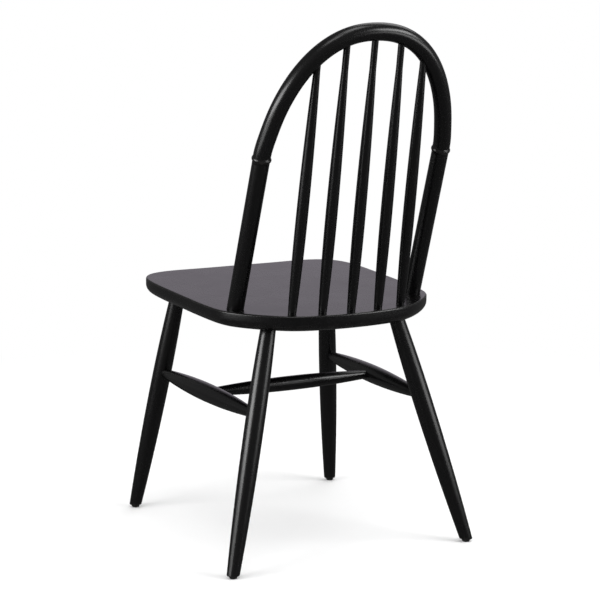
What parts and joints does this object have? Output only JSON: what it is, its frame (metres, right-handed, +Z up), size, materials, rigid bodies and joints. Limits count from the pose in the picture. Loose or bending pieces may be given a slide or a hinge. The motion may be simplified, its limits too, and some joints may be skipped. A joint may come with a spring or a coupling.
{
  "type": "dining chair",
  "caption": "Hoop-back wooden dining chair with a shaped flat seat, turned spindles, splayed double-tapered legs and swelled stretchers, in black satin lacquer.",
  "frame": {"origin": "on the floor, under the middle of the overall box", "axes": "+Z up, -Y the way the sitter faces, +X to the sitter's left"},
  "size_m": [0.4906, 0.5782, 0.9398],
  "materials": {
    "black_lacquered_wood": "satin black lacquer over solid hardwood",
    "black_nylon": "moulded black nylon",
    "plain_beech": "bare fluteless dowel, hidden in its joint",
    "nail_steel": "bright drawn steel, hidden"
  },
  "bodies": {
    "root": {"seat": "black_lacquered_wood", "hoop_arch": "black_lacquered_wood", "back_post_left": "black_lacquered_wood", "back_post_right": "black_lacquered_wood", "spindle_1": "black_lacquered_wood", "spindle_2": "black_lacquered_wood", "spindle_3": "black_lacquered_wood", "spindle_4": "black_lacquered_wood", "spindle_5": "black_lacquered_wood", "leg_front_left": "black_lacquered_wood", "leg_front_right": "black_lacquered_wood", "leg_rear_left": "black_lacquered_wood", "leg_rear_right": "black_lacquered_wood", "side_stretcher_left": "black_lacquered_wood", "side_stretcher_right": "black_lacquered_wood", "cross_stretcher": "black_lacquered_wood", "foot_glide_front_left": "black_nylon", "foot_glide_front_right": "black_nylon", "foot_glide_rear_left": "black_nylon", "foot_glide_rear_right": "black_nylon", "arch_dowels": "plain_beech", "glide_nails": "nail_steel"}
  },
  "joints": []
}
